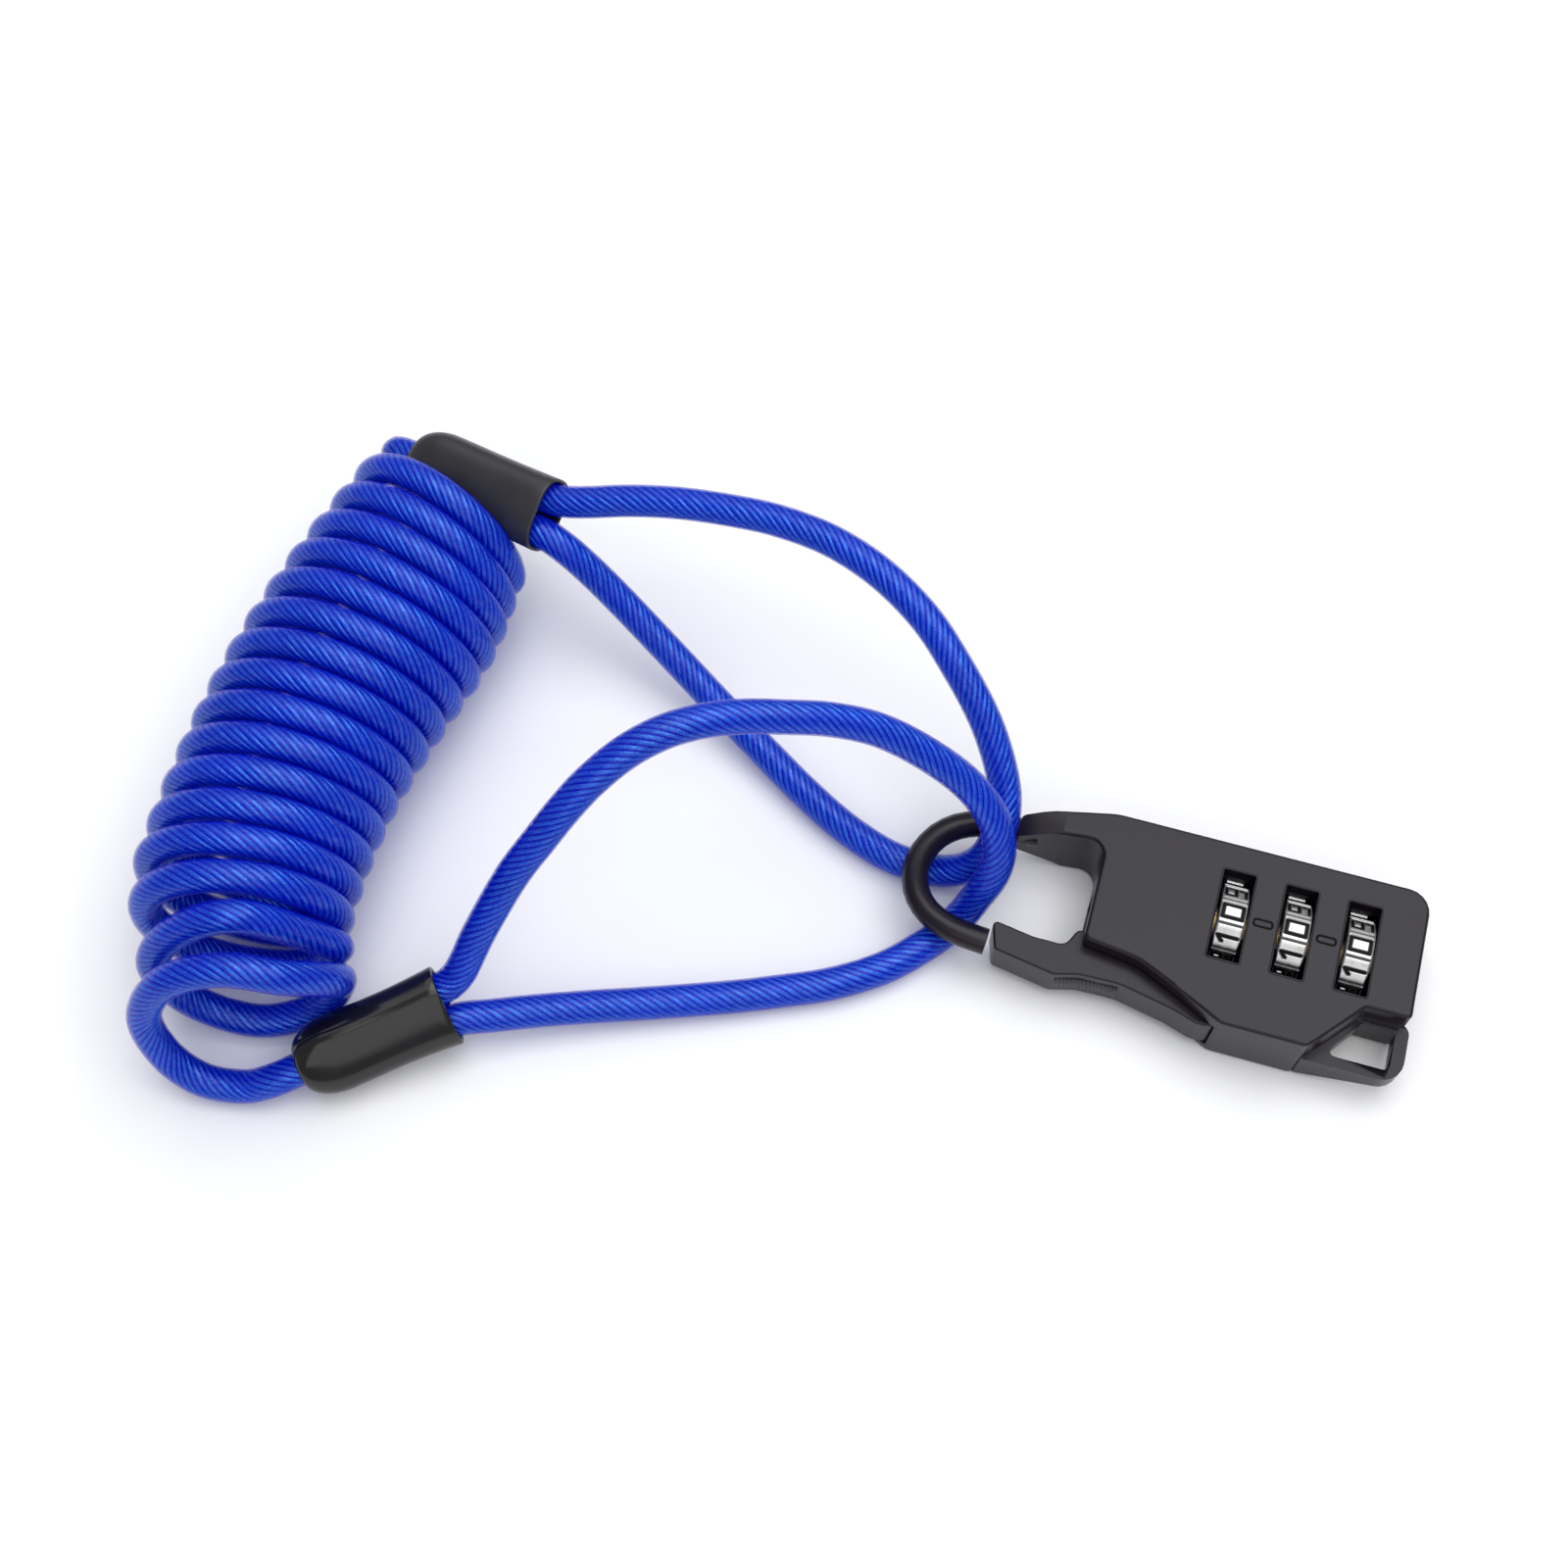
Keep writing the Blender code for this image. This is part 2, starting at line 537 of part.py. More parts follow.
def make_hub(index, x):
    """A hub with a pocket for the spindle's fin and a keyway behind it."""
    left, right = x - HUB_LENGTH / 2, x + HUB_LENGTH / 2
    hub = rod(f"dial_hub_{index + 1}", (left, AXLE_Y, AXLE_Z), (right, AXLE_Y, AXLE_Z), HUB_RADIUS, BRASS)
    bore = rod(f"cut_hub_bore_{index}", (left - 1, AXLE_Y, AXLE_Z), (right + 1, AXLE_Y, AXLE_Z),
               SPINDLE_RADIUS + RUNNING_GAP, sides=20)
    pocket = rod(f"cut_hub_pocket_{index}", (left - 1, AXLE_Y, AXLE_Z),
                 (left + HUB_POCKET_DEPTH, AXLE_Y, AXLE_Z), HUB_POCKET_RADIUS)
    keyway = block(f"cut_hub_keyway_{index}", (right - 3, AXLE_Y - 0.7, AXLE_Z - HUB_POCKET_RADIUS),
                   (right + 1, AXLE_Y + 0.7, AXLE_Z))
    cut(hub, bore, pocket, keyway)
    set_origin(hub, x, AXLE_Y, AXLE_Z)


def make_spindle():
    """The sliding spindle: a rod with a fin in each hub's pocket and a paddle for the gate's lug."""
    axle = (AXLE_Y, AXLE_Z)
    spindle = rod("spindle", (SPINDLE_LEFT_X, *axle), (SPINDLE_RIGHT_X, *axle), SPINDLE_RADIUS, STEEL, 20)
    join(spindle, block("paddle", (SPINDLE_LEFT_X, 0.4, 5.7), (SPINDLE_LEFT_X + FIN_THICKNESS, 6.4, 9.1)))
    for index in range(DIALS):
        left = dial_x(index) - HUB_LENGTH / 2 + FIN_SETBACK
        low = (left, AXLE_Y - 0.5, AXLE_Z - 2.1)
        join(spindle, block(f"fin_{index}", low, (left + FIN_THICKNESS, AXLE_Y + 0.5, AXLE_Z)))
    set_origin(spindle, SPINDLE_LEFT_X, AXLE_Y, AXLE_Z)


# Cable

def frame_of(sleeve):
    """A sleeve's placement, local Z along it from the closed end, and its length in millimetres."""
    closed, mouth, across = (Vector(value) for value in sleeve)
    along = (mouth - closed).normalized()
    across = (across - along * across.dot(along)).normalized()
    matrix = Matrix.Identity(4)
    for column, axis in enumerate((across, along.cross(across), along)):
        matrix.col[column][:3] = axis
    matrix.translation = closed * MM
    return matrix, (mouth - closed).length


def stadium(width, height):
    """A flat outline with round ends."""
    half_width, half_height = width / 2, height / 2
    corners = [(half_width, -half_height), (half_width, half_height), (-half_width, half_height),
               (-half_width, -half_height)]
    return rounded([(*corner, half_height * 0.98) for corner in corners], 4)


def make_end(letter, sleeve):
    """A vinyl sleeve over the aluminium ferrule that closes a loop.

    The sleeve is made longer than it is by the rounding at its mouth, which is then trimmed off.
    """
    matrix, length = frame_of(sleeve)
    over = 4.0
    body = plate(f"sleeve_{letter}", [stadium(SLEEVE_WIDTH, SLEEVE_HEIGHT)], 0, length + over, BLACK_VINYL)
    soften(body, 2.4, 3)
    trim = block(f"cut_mouth_{letter}", (-10, -10, length), (10, 10, length + over + 1))
    hollow = plate(f"cut_sleeve_{letter}", [stadium(SLEEVE_WIDTH - 0.8, SLEEVE_HEIGHT - 1.4)],
                   SLEEVE_END_WALL, length + over + 1)
    entry = rod(f"cut_entry_{letter}", (0, 0, -1), (0, 0, SLEEVE_END_WALL + 1), CABLE_RADIUS + 0.35, sides=16)
    cut(body, trim, hollow, entry)
    high = length - FERRULE_DEPTH
    ferrule = plate(f"ferrule_{letter}", [stadium(SLEEVE_WIDTH - 1.4, SLEEVE_HEIGHT - 2.0)],
                    high - FERRULE_LENGTH, high, ALUMINIUM)
    for obj in (body, trim, hollow, entry, ferrule):
        obj.data.transform(matrix)


def make_cable():
    """The two loops, the wound length as one fat tube, and the leads between it and the sleeves."""
    tube("cable_loop_a", smooth_route(LOOP_A_ROUTE, 4.2), CABLE_RADIUS, BLUE_CABLE)
    tube("cable_loop_b", smooth_route(LOOP_B_ROUTE, 4.2), CABLE_RADIUS, BLUE_CABLE)
    tube("cable_coil", smooth_route(COIL_AXIS, 6.0), COIL_RADIUS, BLUE_CABLE, 4)
    tube("cable_lead_a", smooth_route(LEAD_A_ROUTE, 2.6), CABLE_RADIUS, BLUE_CABLE)
    tube("cable_lead_b", smooth_route(LEAD_B_ROUTE, 3.2), CABLE_RADIUS, BLUE_CABLE)


make_front_case()
make_back_cover()
make_screws()
make_gate()
make_springs()
make_dials()
make_spindle()
make_end("a", SLEEVE_A)
make_end("b", SLEEVE_B)
make_cable()
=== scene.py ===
import json
import math

import bmesh
import bpy
import numpy as np
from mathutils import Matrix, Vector


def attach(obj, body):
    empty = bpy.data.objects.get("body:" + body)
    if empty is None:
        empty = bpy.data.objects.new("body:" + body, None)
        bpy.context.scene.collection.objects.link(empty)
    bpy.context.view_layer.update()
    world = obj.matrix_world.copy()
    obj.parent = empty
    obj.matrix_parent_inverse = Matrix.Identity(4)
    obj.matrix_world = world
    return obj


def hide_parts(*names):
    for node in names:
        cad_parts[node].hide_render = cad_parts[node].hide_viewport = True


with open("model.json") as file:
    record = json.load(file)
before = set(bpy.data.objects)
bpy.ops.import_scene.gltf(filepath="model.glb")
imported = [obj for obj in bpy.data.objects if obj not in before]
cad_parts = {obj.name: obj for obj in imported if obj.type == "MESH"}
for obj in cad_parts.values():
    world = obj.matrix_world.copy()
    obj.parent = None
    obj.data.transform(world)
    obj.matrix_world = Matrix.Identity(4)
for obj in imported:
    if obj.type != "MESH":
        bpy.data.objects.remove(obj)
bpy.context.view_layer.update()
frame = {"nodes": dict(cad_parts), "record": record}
print("frame loaded:", len(frame["nodes"]), "nodes")


# ---- camera: a steep view from the gate's side, a little towards the tail

cameraValues = {
    "target": (-0.0592, 0.0081, 0.005),
    "azimuth": 16.1,
    "elevation": 64.5,
    "distance": 0.32,
    "lens": 48.2,
}


def addCamera(values):
    azimuth, elevation = math.radians(values["azimuth"]), math.radians(values["elevation"])
    back = Vector((math.sin(azimuth) * math.cos(elevation), -math.cos(azimuth) * math.cos(elevation),
                   math.sin(elevation)))
    data = bpy.data.cameras.new("camera")
    data.lens = values["lens"]
    data.clip_start = 0.01
    camera = bpy.data.objects.new("camera", data)
    camera.location = Vector(values["target"]) + back * values["distance"]
    camera.rotation_euler = (-back).to_track_quat("-Z", "Y").to_euler()
    bpy.context.scene.collection.objects.link(camera)
    bpy.context.scene.camera = camera


addCamera(cameraValues)


# ---- grid surfaces

def gridMesh(name, grid, closeRings=False, capEnds=False, ringLength=None):
    # grid is rings x points x 3. Each ring is closed on itself, and counter-clockwise when seen from
    # the end that the rings run to. U goes once round a ring and V runs along the rings, in metres.
    rings, around = grid.shape[:2]
    corners = grid.reshape(-1, 3)
    steps = rings if closeRings else rings - 1
    i, j = np.meshgrid(np.arange(steps), np.arange(around), indexing="ij")
    nextI, nextJ = (i + 1) % rings, (j + 1) % around
    quads = np.stack([i * around + j, i * around + nextJ, nextI * around + nextJ, nextI * around + j], -1)
    quads = quads.reshape(-1, 4)
    if ringLength is None:
        middles = grid.mean(axis=1)
        ringLength = np.concatenate([[0], np.cumsum(np.linalg.norm(np.diff(middles, axis=0), axis=1))])
    v = np.append(ringLength, ringLength[-1])
    uv = np.stack([
        np.stack([j / around, v[i]], -1), np.stack([(j + 1) / around, v[i]], -1),
        np.stack([(j + 1) / around, v[i + 1]], -1), np.stack([j / around, v[i + 1]], -1),
    ], -2).reshape(-1, 2)
    loops, starts = quads.reshape(-1), np.arange(len(quads)) * 4
    if capEnds:
        # a fan from a new vertex at the middle of each end ring
        first, last = len(corners), len(corners) + 1
        corners = np.vstack([corners, grid[0].mean(axis=0), grid[-1].mean(axis=0)])
        ring, following = np.arange(around), (np.arange(around) + 1) % around
        base = (rings - 1) * around
        fans = np.concatenate([
            np.stack([np.full(around, first), following, ring], -1),
            np.stack([np.full(around, last), base + ring, base + following], -1),
        ])
        starts = np.concatenate([starts, len(loops) + np.arange(len(fans)) * 3])
        loops = np.concatenate([loops, fans.reshape(-1)])
        uv = np.vstack([uv, np.zeros((len(fans) * 3, 2))])
    mesh = bpy.data.meshes.new(name)
    mesh.vertices.add(len(corners))
    mesh.vertices.foreach_set("co", corners.astype(np.float32).reshape(-1))
    mesh.loops.add(len(loops))
    mesh.loops.foreach_set("vertex_index", loops.astype(np.int32))
    mesh.polygons.add(len(starts))
    mesh.polygons.foreach_set("loop_start", starts.astype(np.int32))
    mesh.uv_layers.new(name="UVMap").data.foreach_set("uv", uv.astype(np.float32).reshape(-1))
    mesh.update(calc_edges=True)
    mesh.validate()
    mesh.shade_smooth()
    obj = bpy.data.objects.new(name, mesh)
    bpy.context.scene.collection.objects.link(obj)
    return obj


def addAttribute(obj, name, values):
    # one number for each vertex, in the grid's order; the vertices of end caps get 0
    full = np.zeros(len(obj.data.vertices), np.float32)
    full[:values.size] = values.reshape(-1)
    obj.data.attributes.new(name, "FLOAT", "POINT").data.foreach_set("value", full)


def smoothLine(points, perStep):
    # Catmull-Rom: each stretch leaves a point along the line between its two neighbours
    points = np.asarray(points, float)
    points = np.vstack([2 * points[0] - points[1], points, 2 * points[-1] - points[-2]])
    t = np.arange(perStep)[None, :, None] / perStep
    p0, p1, p2, p3 = (points[k:len(points) - 3 + k, None] for k in range(4))
    line = p1 + 0.5 * ((p2 - p0) * t + (2 * p0 - 5 * p1 + 4 * p2 - p3) * t ** 2
                       + (3 * p1 - p0 - 3 * p2 + p3) * t ** 3)
    return np.vstack([line.reshape(-1, points.shape[1]), points[-2]])


def evenly(line, step):
    # points a fixed distance apart along a line
    along = np.concatenate([[0], np.cumsum(np.linalg.norm(np.diff(line, axis=0), axis=1))])
    places = np.linspace(0, along[-1], max(2, round(along[-1] / step) + 1))
    return np.stack([np.interp(places, along, line[:, k]) for k in range(3)], -1), places


def carriedFrames(line):
    # a side vector is carried along the line and kept square to it, so it never twists about it
    tangents = np.gradient(line, axis=0)
    tangents /= np.linalg.norm(tangents, axis=1)[:, None]
    sides = np.empty_like(line)
    side = np.cross(tangents[0], (0, 0, 1))
    for k, tangent in enumerate(tangents):
        side = side - tangent * side.dot(tangent)
        side /= np.linalg.norm(side)
        sides[k] = side
    return tangents, sides, np.cross(tangents, sides)


def tubeGrid(line, outline):
    # outline is points x 2, or rings x points x 2, laid on the side vectors
    tangents, sides, ups = carriedFrames(line)
    outline = np.broadcast_to(outline, (len(line),) + np.shape(outline)[-2:])
    return line[:, None] + outline[..., :1] * sides[:, None] + outline[..., 1:] * ups[:, None]


def ringOf(radius, count):
    angles = np.arange(count) * 2 * np.pi / count
    return np.stack([np.cos(angles), np.sin(angles)], -1) * radius


# ---- cable: one length from the ferrule of loop a, through the coil, to the ferrule of loop b

loopRouteA = [
    (-0.1083, 0.0364, 0.0246), (-0.1030, 0.0348, 0.0256), (-0.0984, 0.0350, 0.0266),
    (-0.0912, 0.0364, 0.0280), (-0.0831, 0.0374, 0.0292), (-0.0742, 0.0378, 0.0300),
    (-0.0678, 0.0376, 0.0304), (-0.0599, 0.0363, 0.0306), (-0.0516, 0.0333, 0.0300),
    (-0.0437, 0.0288, 0.0283), (-0.0373, 0.0236, 0.0255), (-0.0321, 0.0190, 0.0219),
    (-0.0286, 0.0149, 0.0184), (-0.0264, 0.0112, 0.0155), (-0.0256, 0.0080, 0.0137),
    (-0.0258, 0.0053, 0.0114), (-0.0271, 0.0032, 0.0080), (-0.0296, 0.0021, 0.0049),
    (-0.0330, 0.0016, 0.0030), (-0.0370, 0.0016, 0.0026), (-0.0420, 0.0023, 0.0026),
    (-0.0489, 0.0049, 0.0026), (-0.0562, 0.0087, 0.0030), (-0.0637, 0.0131, 0.0038),
    (-0.0715, 0.0175, 0.0054), (-0.0784, 0.0212, 0.0078), (-0.0860, 0.0249, 0.0114),
    (-0.0928, 0.0276, 0.0159), (-0.0974, 0.0288, 0.0198), (-0.1006, 0.0295, 0.0220),
    (-0.1038, 0.0303, 0.0229), (-0.1090, 0.0318, 0.0220),
]
loopRouteB = [
    (-0.1011, -0.0425, 0.0093), (-0.0968, -0.0390, 0.0099), (-0.0946, -0.0365, 0.0116),
    (-0.0924, -0.0318, 0.0176), (-0.0888, -0.0256, 0.0258), (-0.0855, -0.0212, 0.0312),
    (-0.0829, -0.0176, 0.0350), (-0.0800, -0.0138, 0.0382), (-0.0761, -0.0096, 0.0410),
    (-0.0717, -0.0059, 0.0424), (-0.0670, -0.0029, 0.0425), (-0.0622, -0.0005, 0.0418),
    (-0.0573, 0.0015, 0.0405), (-0.0511, 0.0041, 0.0382), (-0.0445, 0.0058, 0.0352),
    (-0.0373, 0.0060, 0.0310), (-0.0310, 0.0052, 0.0264), (-0.0268, 0.0034, 0.0218),
    (-0.0249, 0.0012, 0.0173), (-0.0249, -0.0009, 0.0129), (-0.0263, -0.0027, 0.0083),
    (-0.0278, -0.0047, 0.0047), (-0.0296, -0.0072, 0.0029), (-0.0324, -0.0108, 0.0026),
    (-0.0371, -0.0156, 0.0026), (-0.0436, -0.0200, 0.0026), (-0.0502, -0.0231, 0.0026),
    (-0.0568, -0.0260, 0.0028), (-0.0635, -0.0287, 0.0031), (-0.0701, -0.0313, 0.0035),
    (-0.0768, -0.0339, 0.0040), (-0.0833, -0.0366, 0.0046), (-0.0894, -0.0394, 0.0053),
    (-0.0941, -0.0417, 0.0061), (-0.0984, -0.0452, 0.0056),
]
leadRouteA = [
    (-0.1128, 0.0294, 0.0062), (-0.1174, 0.0312, 0.0032), (-0.1226, 0.0348, 0.0027),
    (-0.1278, 0.0384, 0.0048), (-0.1316, 0.0408, 0.0094), (-0.1326, 0.0414, 0.0144),
    (-0.1319, 0.0408, 0.0182), (-0.1290, 0.0399, 0.0196), (-0.1220, 0.0379, 0.0209),
]
leadRouteB = [
    (-0.1216, -0.0423, 0.0284), (-0.1305, -0.0455, 0.0246), (-0.1354, -0.0484, 0.0156),
    (-0.1317, -0.0495, 0.0062), (-0.1224, -0.0488, 0.0027), (-0.1142, -0.0452, 0.0050),
    (-0.1103, -0.0429, 0.0124), (-0.1092, -0.0452, 0.0204), (-0.1136, -0.0484, 0.0264),
    (-0.1212, -0.0502, 0.0284), (-0.1292, -0.0530, 0.0246), (-0.1336, -0.0560, 0.0156),
    (-0.1316, -0.0584, 0.0074), (-0.1266, -0.0595, 0.0035), (-0.1207, -0.0587, 0.0029),
    (-0.1166, -0.0572, 0.0046), (-0.1134, -0.0549, 0.0055), (-0.1100, -0.0521, 0.0060),
]
# the coil's leftmost and rightmost places on the plan, with the turn at which the cable is there
coilLeft = [
    (1, -0.1315, 0.0402), (2, -0.1343, 0.0336), (5, -0.1388, 0.0164), (8, -0.1414, -0.0011),
    (11, -0.1419, -0.0182), (14, -0.1410, -0.0356), (15, -0.1389, -0.0419), (16, -0.1356, -0.0486),
]
coilRight = [
    (1.5, -0.1087, 0.0266), (4.5, -0.1086, 0.0126), (7.5, -0.1116, -0.0014), (10.5, -0.1139, -0.0154),
    (13.5, -0.1140, -0.0294), (15.5, -0.1124, -0.0388), (16.5, -0.1098, -0.0439),
]
cableValues = {
    "radius": 0.00246,
    "coreRadius": 0.00226,
    "strands": 12,
    "strandLay": 0.0165,
    "strandBulge": 0.00026,
    "coilMiddleZ": 0.0158,
    "coilRise": 0.0132,
    "firstTurn": 1.4,
    "lastTurn": 15.56,
    "turnSteps": 18,
    "endInset": 0.014,
    "endAside": {"a": 0.0026, "b": 0.0025},
    "skinStep": 0.0012,
    "skinPoints": 24,
    "coreStep": 0.00096,
    "pointsPerStrand": 4,
}
sleevePlaces = {
    "a": ((-0.1279, 0.0396, 0.0198), (-0.1034, 0.0326, 0.0243), (0.17, 0.85, 0.50)),
    "b": ((-0.1131, -0.0546, 0.0056), (-0.0955, -0.0404, 0.0080), (-0.52, 0.49, 0.70)),
}


def sleeveAxes(letter):
    closed, mouth, across = (np.array(value) for value in sleevePlaces[letter])
    length = np.linalg.norm(mouth - closed)
    along = (mouth - closed) / length
    across = across - along * across.dot(along)
    across /= np.linalg.norm(across)
    return closed, along, across, np.cross(along, across), length


def coilPoints(values):
    # plan place: left * (1 + cos a) / 2 + right * (1 - cos a) / 2; height: middle - rise * sin a
    turn = np.arange(values["firstTurn"], values["lastTurn"], 1 / values["turnSteps"])
    left, right = smoothLine(coilLeft, 30), smoothLine(coilRight, 30)
    angle = 2 * np.pi * turn
    share = (1 + np.cos(angle)) / 2
    plan = [np.interp(turn, left[:, 0], left[:, k]) * share
            + np.interp(turn, right[:, 0], right[:, k]) * (1 - share) for k in (1, 2)]
    return np.stack([*plan, values["coilMiddleZ"] - values["coilRise"] * np.sin(angle)], -1)


def cableLine(values):
    ends = {}
    for letter, aside in values["endAside"].items():
        closed, along, across, up, length = sleeveAxes(letter)
        ends[letter] = closed + along * (length - values["endInset"]) + across * aside
    points = np.vstack([
        ends["a"], loopRouteA, leadRouteA[::-1],
        coilPoints(values)[1:],
        leadRouteB, loopRouteB[::-1], ends["b"],
    ])
    return smoothLine(points, 8)


def addCable(values):
    line = cableLine(values)
    skinLine, skinPlaces = evenly(line, values["skinStep"])
    skin = gridMesh("cableSkin", tubeGrid(skinLine, ringOf(values["radius"], values["skinPoints"])),
                    capEnds=True, ringLength=skinPlaces)
    # the strands are a lobed ring, turned by one strand lay for each lay of length
    coreLine, corePlaces = evenly(line, values["coreStep"])
    count = values["strands"] * values["pointsPerStrand"]
    angles = np.arange(count) * 2 * np.pi / count
    lobes = np.abs(np.cos(angles * values["strands"] / 2))
    radius = values["coreRadius"] - values["strandBulge"] * (1 - lobes)
    turned = angles + corePlaces[:, None] * 2 * np.pi / values["strandLay"]
    outline = np.stack([np.cos(turned), np.sin(turned)], -1) * radius[:, None]
    core = gridMesh("cableCore", tubeGrid(coreLine, outline), capEnds=True, ringLength=corePlaces)
    addAttribute(core, "crest", np.broadcast_to(lobes, (len(coreLine), count)))
    return skin, core, skinLine, skinPlaces[-1]


cableSkin, cableCore, cablePath, cableLength = addCable(cableValues)
print("cable made, length", round(cableLength, 4))


# ---- sleeves: a soft dome round the cable at the closed end, an open mouth with a rolled rim

sleeveValues = {
    "width": 0.0114,
    "height": 0.0078,
    "wall": 0.0006,
    "dome": 0.0060,
    "hole": 0.00255,
    "points": 72,
    "squareness": 2.7,
    "flare": {"a": 0.015, "b": 0.06},
    "waist": {"a": 0.01, "b": 0.02},
    "floorInset": (0.0022, 0.0012),
    "floorStep": 0.0016,
    "holeGap": 0.0001,
}


def sleeveRings(letter, values, length):
    # rows of (place along, half width, half height, squareness), outside from the hole to the mouth,
    # over the rim, and back inside to the hole
    halfWidth, halfHeight = values["width"] / 2, values["height"] / 2
    rim = values["wall"] / 2
    q = np.linspace(0, 1, 12)
    rise, run = np.sin(q * np.pi / 2), 1 - np.cos(q * np.pi / 2)
    hole = values["hole"]
    dome = np.stack([values["dome"] * run, hole + (halfWidth - hole) * rise,
                     hole + (halfHeight - hole) * rise, 2 + (values["squareness"] - 2) * rise], -1)
    t = np.linspace(values["dome"], length - rim, 14)[1:]
    share = (t - values["dome"]) / (length - rim - values["dome"])
    swell = 1 + values["flare"][letter] * share ** 4 - values["waist"][letter] * np.sin(np.pi * share) ** 2
    body = np.stack([t, halfWidth * swell, halfHeight * swell, np.full(len(t), values["squareness"])], -1)
    turn = np.linspace(0, np.pi, 7)[1:-1]
    top = body[-1]
    roll = np.stack([top[0] + rim * np.sin(turn), top[1] - rim * (1 - np.cos(turn)),
                     top[2] - rim * (1 - np.cos(turn)), np.full(len(turn), top[3])], -1)
    inside = body[::-1] - (0, values["wall"], values["wall"], 0)
    insetWide, insetHigh = values["floorInset"]
    gap = hole + values["holeGap"]
    floor = np.array([[values["dome"], halfWidth - insetWide, halfHeight - insetHigh, 2.4],
                      [values["dome"] - values["floorStep"], gap, gap, 2.0]])
    return np.vstack([dome, body, roll, inside, floor])


def addSleeve(letter, values):
    # each ring is a superellipse: half size * sign(cos a) * |cos a| ^ (2 / squareness)
    closed, along, across, up, length = sleeveAxes(letter)
    rings = sleeveRings(letter, values, length)
    angles = np.arange(values["points"]) * 2 * np.pi / values["points"]
    c, s = np.cos(angles), np.sin(angles)
    power = 2 / rings[:, 3:4]
    x = rings[:, 1:2] * np.sign(c) * np.abs(c) ** power
    y = rings[:, 2:3] * np.sign(s) * np.abs(s) ** power
    grid = closed + rings[:, :1, None] * along + x[..., None] * across + y[..., None] * up
    return gridMesh("sleeve" + letter.upper(), grid, closeRings=True)


sleeveA, sleeveB = (addSleeve(letter, sleeveValues) for letter in ("a", "b"))
print("sleeves made")


# ---- case, gate and back: copies of the frame's solids with merged corners and even shading

eyeValues = {
    "openingLow": (0.0272, -0.0112),
    "openingHigh": (0.0359, -0.0061),
    "ringStart": (0.024, -0.0055),
    "underZ": 0.0006,
    "topZ": 0.0066,
    "near": 0.00003,
    "newUnderZ": 0.0034,
    "stretchFrom": (0.0277, -0.0062),
    "wider": 1.06,
    "taller": 1.24,
}


def openEye(mesh, values):
    # the ring is thinned from below, and its opening is stretched away from the case
    count = len(mesh.vertices)
    corners = np.empty(count * 3, np.float32)
    mesh.vertices.foreach_get("co", corners)
    corners = corners.reshape(-1, 3)
    x, y, z = corners.T
    atUnder = np.abs(z - values["underZ"]) < values["near"]
    atTop = np.abs(z - values["topZ"]) < values["near"]
    (lowX, lowY), (highX, highY) = values["openingLow"], values["openingHigh"]
    opening = (x > lowX) & (x < highX) & (y > lowY) & (y < highY) & (atUnder | atTop)
    under = (x > values["ringStart"][0]) & (y < values["ringStart"][1]) & atUnder
    fromX, fromY = values["stretchFrom"]
    corners[opening, 0] = fromX + (x[opening] - fromX) * values["wider"]
    corners[opening, 1] = fromY + (y[opening] - fromY) * values["taller"]
    corners[under, 2] = values["newUnderZ"]
    mesh.vertices.foreach_set("co", corners.reshape(-1))


copyValues = {"mergeWithin": 2e-6, "flatWithin": 0.4, "sharpest": 38}


def smoothCopy(node, name, body):
    mesh = frame["nodes"][node].data.copy()
    mesh.name = name
    if node == "front_case":
        openEye(mesh, eyeValues)
    cage = bmesh.new()
    cage.from_mesh(mesh)
    bmesh.ops.remove_doubles(cage, verts=cage.verts, dist=copyValues["mergeWithin"])
    bmesh.ops.dissolve_limit(cage, angle_limit=math.radians(copyValues["flatWithin"]), verts=cage.verts,
                             edges=cage.edges)
    cage.to_mesh(mesh)
    cage.free()
    mesh.materials.clear()
    mesh.shade_smooth()
    mesh.set_sharp_from_angle(angle=math.radians(copyValues["sharpest"]))
    obj = bpy.data.objects.new(name, mesh)
    bpy.context.scene.collection.objects.link(obj)
    normals = obj.modifiers.new("evenShading", "WEIGHTED_NORMAL")
    normals.keep_sharp = True
    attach(obj, body)
    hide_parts(node)
    return obj


caseBody = smoothCopy("front_case", "caseBody", "lock_body")
backPlate = smoothCopy("back_cover", "backPlate", "lock_body")
thumbGate = smoothCopy("gate", "thumbGate", "gate")
screws = [smoothCopy(f"cover_screw_{k}", f"coverScrew{k}", "lock_body") for k in (1, 2, 3)]
print("case, gate and back made")


# ---- beads on the face: a rim round each dial window and an index bar between the dials

faceValues = {
    "faceZ": 0.0122,
    "dialX": (0.00965, 0.01885, 0.02805),
    "axleY": 0.0025,
    "axleZ": 0.00745,
    "windowWidth": 0.0048,
    "windowLength": 0.0142,
    "rimRadius": 0.00017,
    "barLength": 0.0027,
    "barWidth": 0.00105,
    "barBead": 0.00017,
    "rimGap": 0.0001,
    "rimCorner": 0.0004,
    "rimSunk": 0.00004,
    "barCorner": 0.00042,
}


def roundedLoop(centre, width, length, corner, z, perCorner=8):
    # a rectangle with quarter-circle corners, counter-clockwise from above, closed on itself
    angles = np.arange(perCorner) * (np.pi / 2) / (perCorner - 1)
    corners = []
    for k, (sx, sy) in enumerate(((1, 1), (-1, 1), (-1, -1), (1, -1))):
        a = angles + k * np.pi / 2
        corners.append(np.stack([
            centre[0] + sx * (width / 2 - corner) + corner * np.cos(a),
            centre[1] + sy * (length / 2 - corner) + corner * np.sin(a),
            np.full(perCorner, z),
        ], -1))
    return np.vstack(corners)


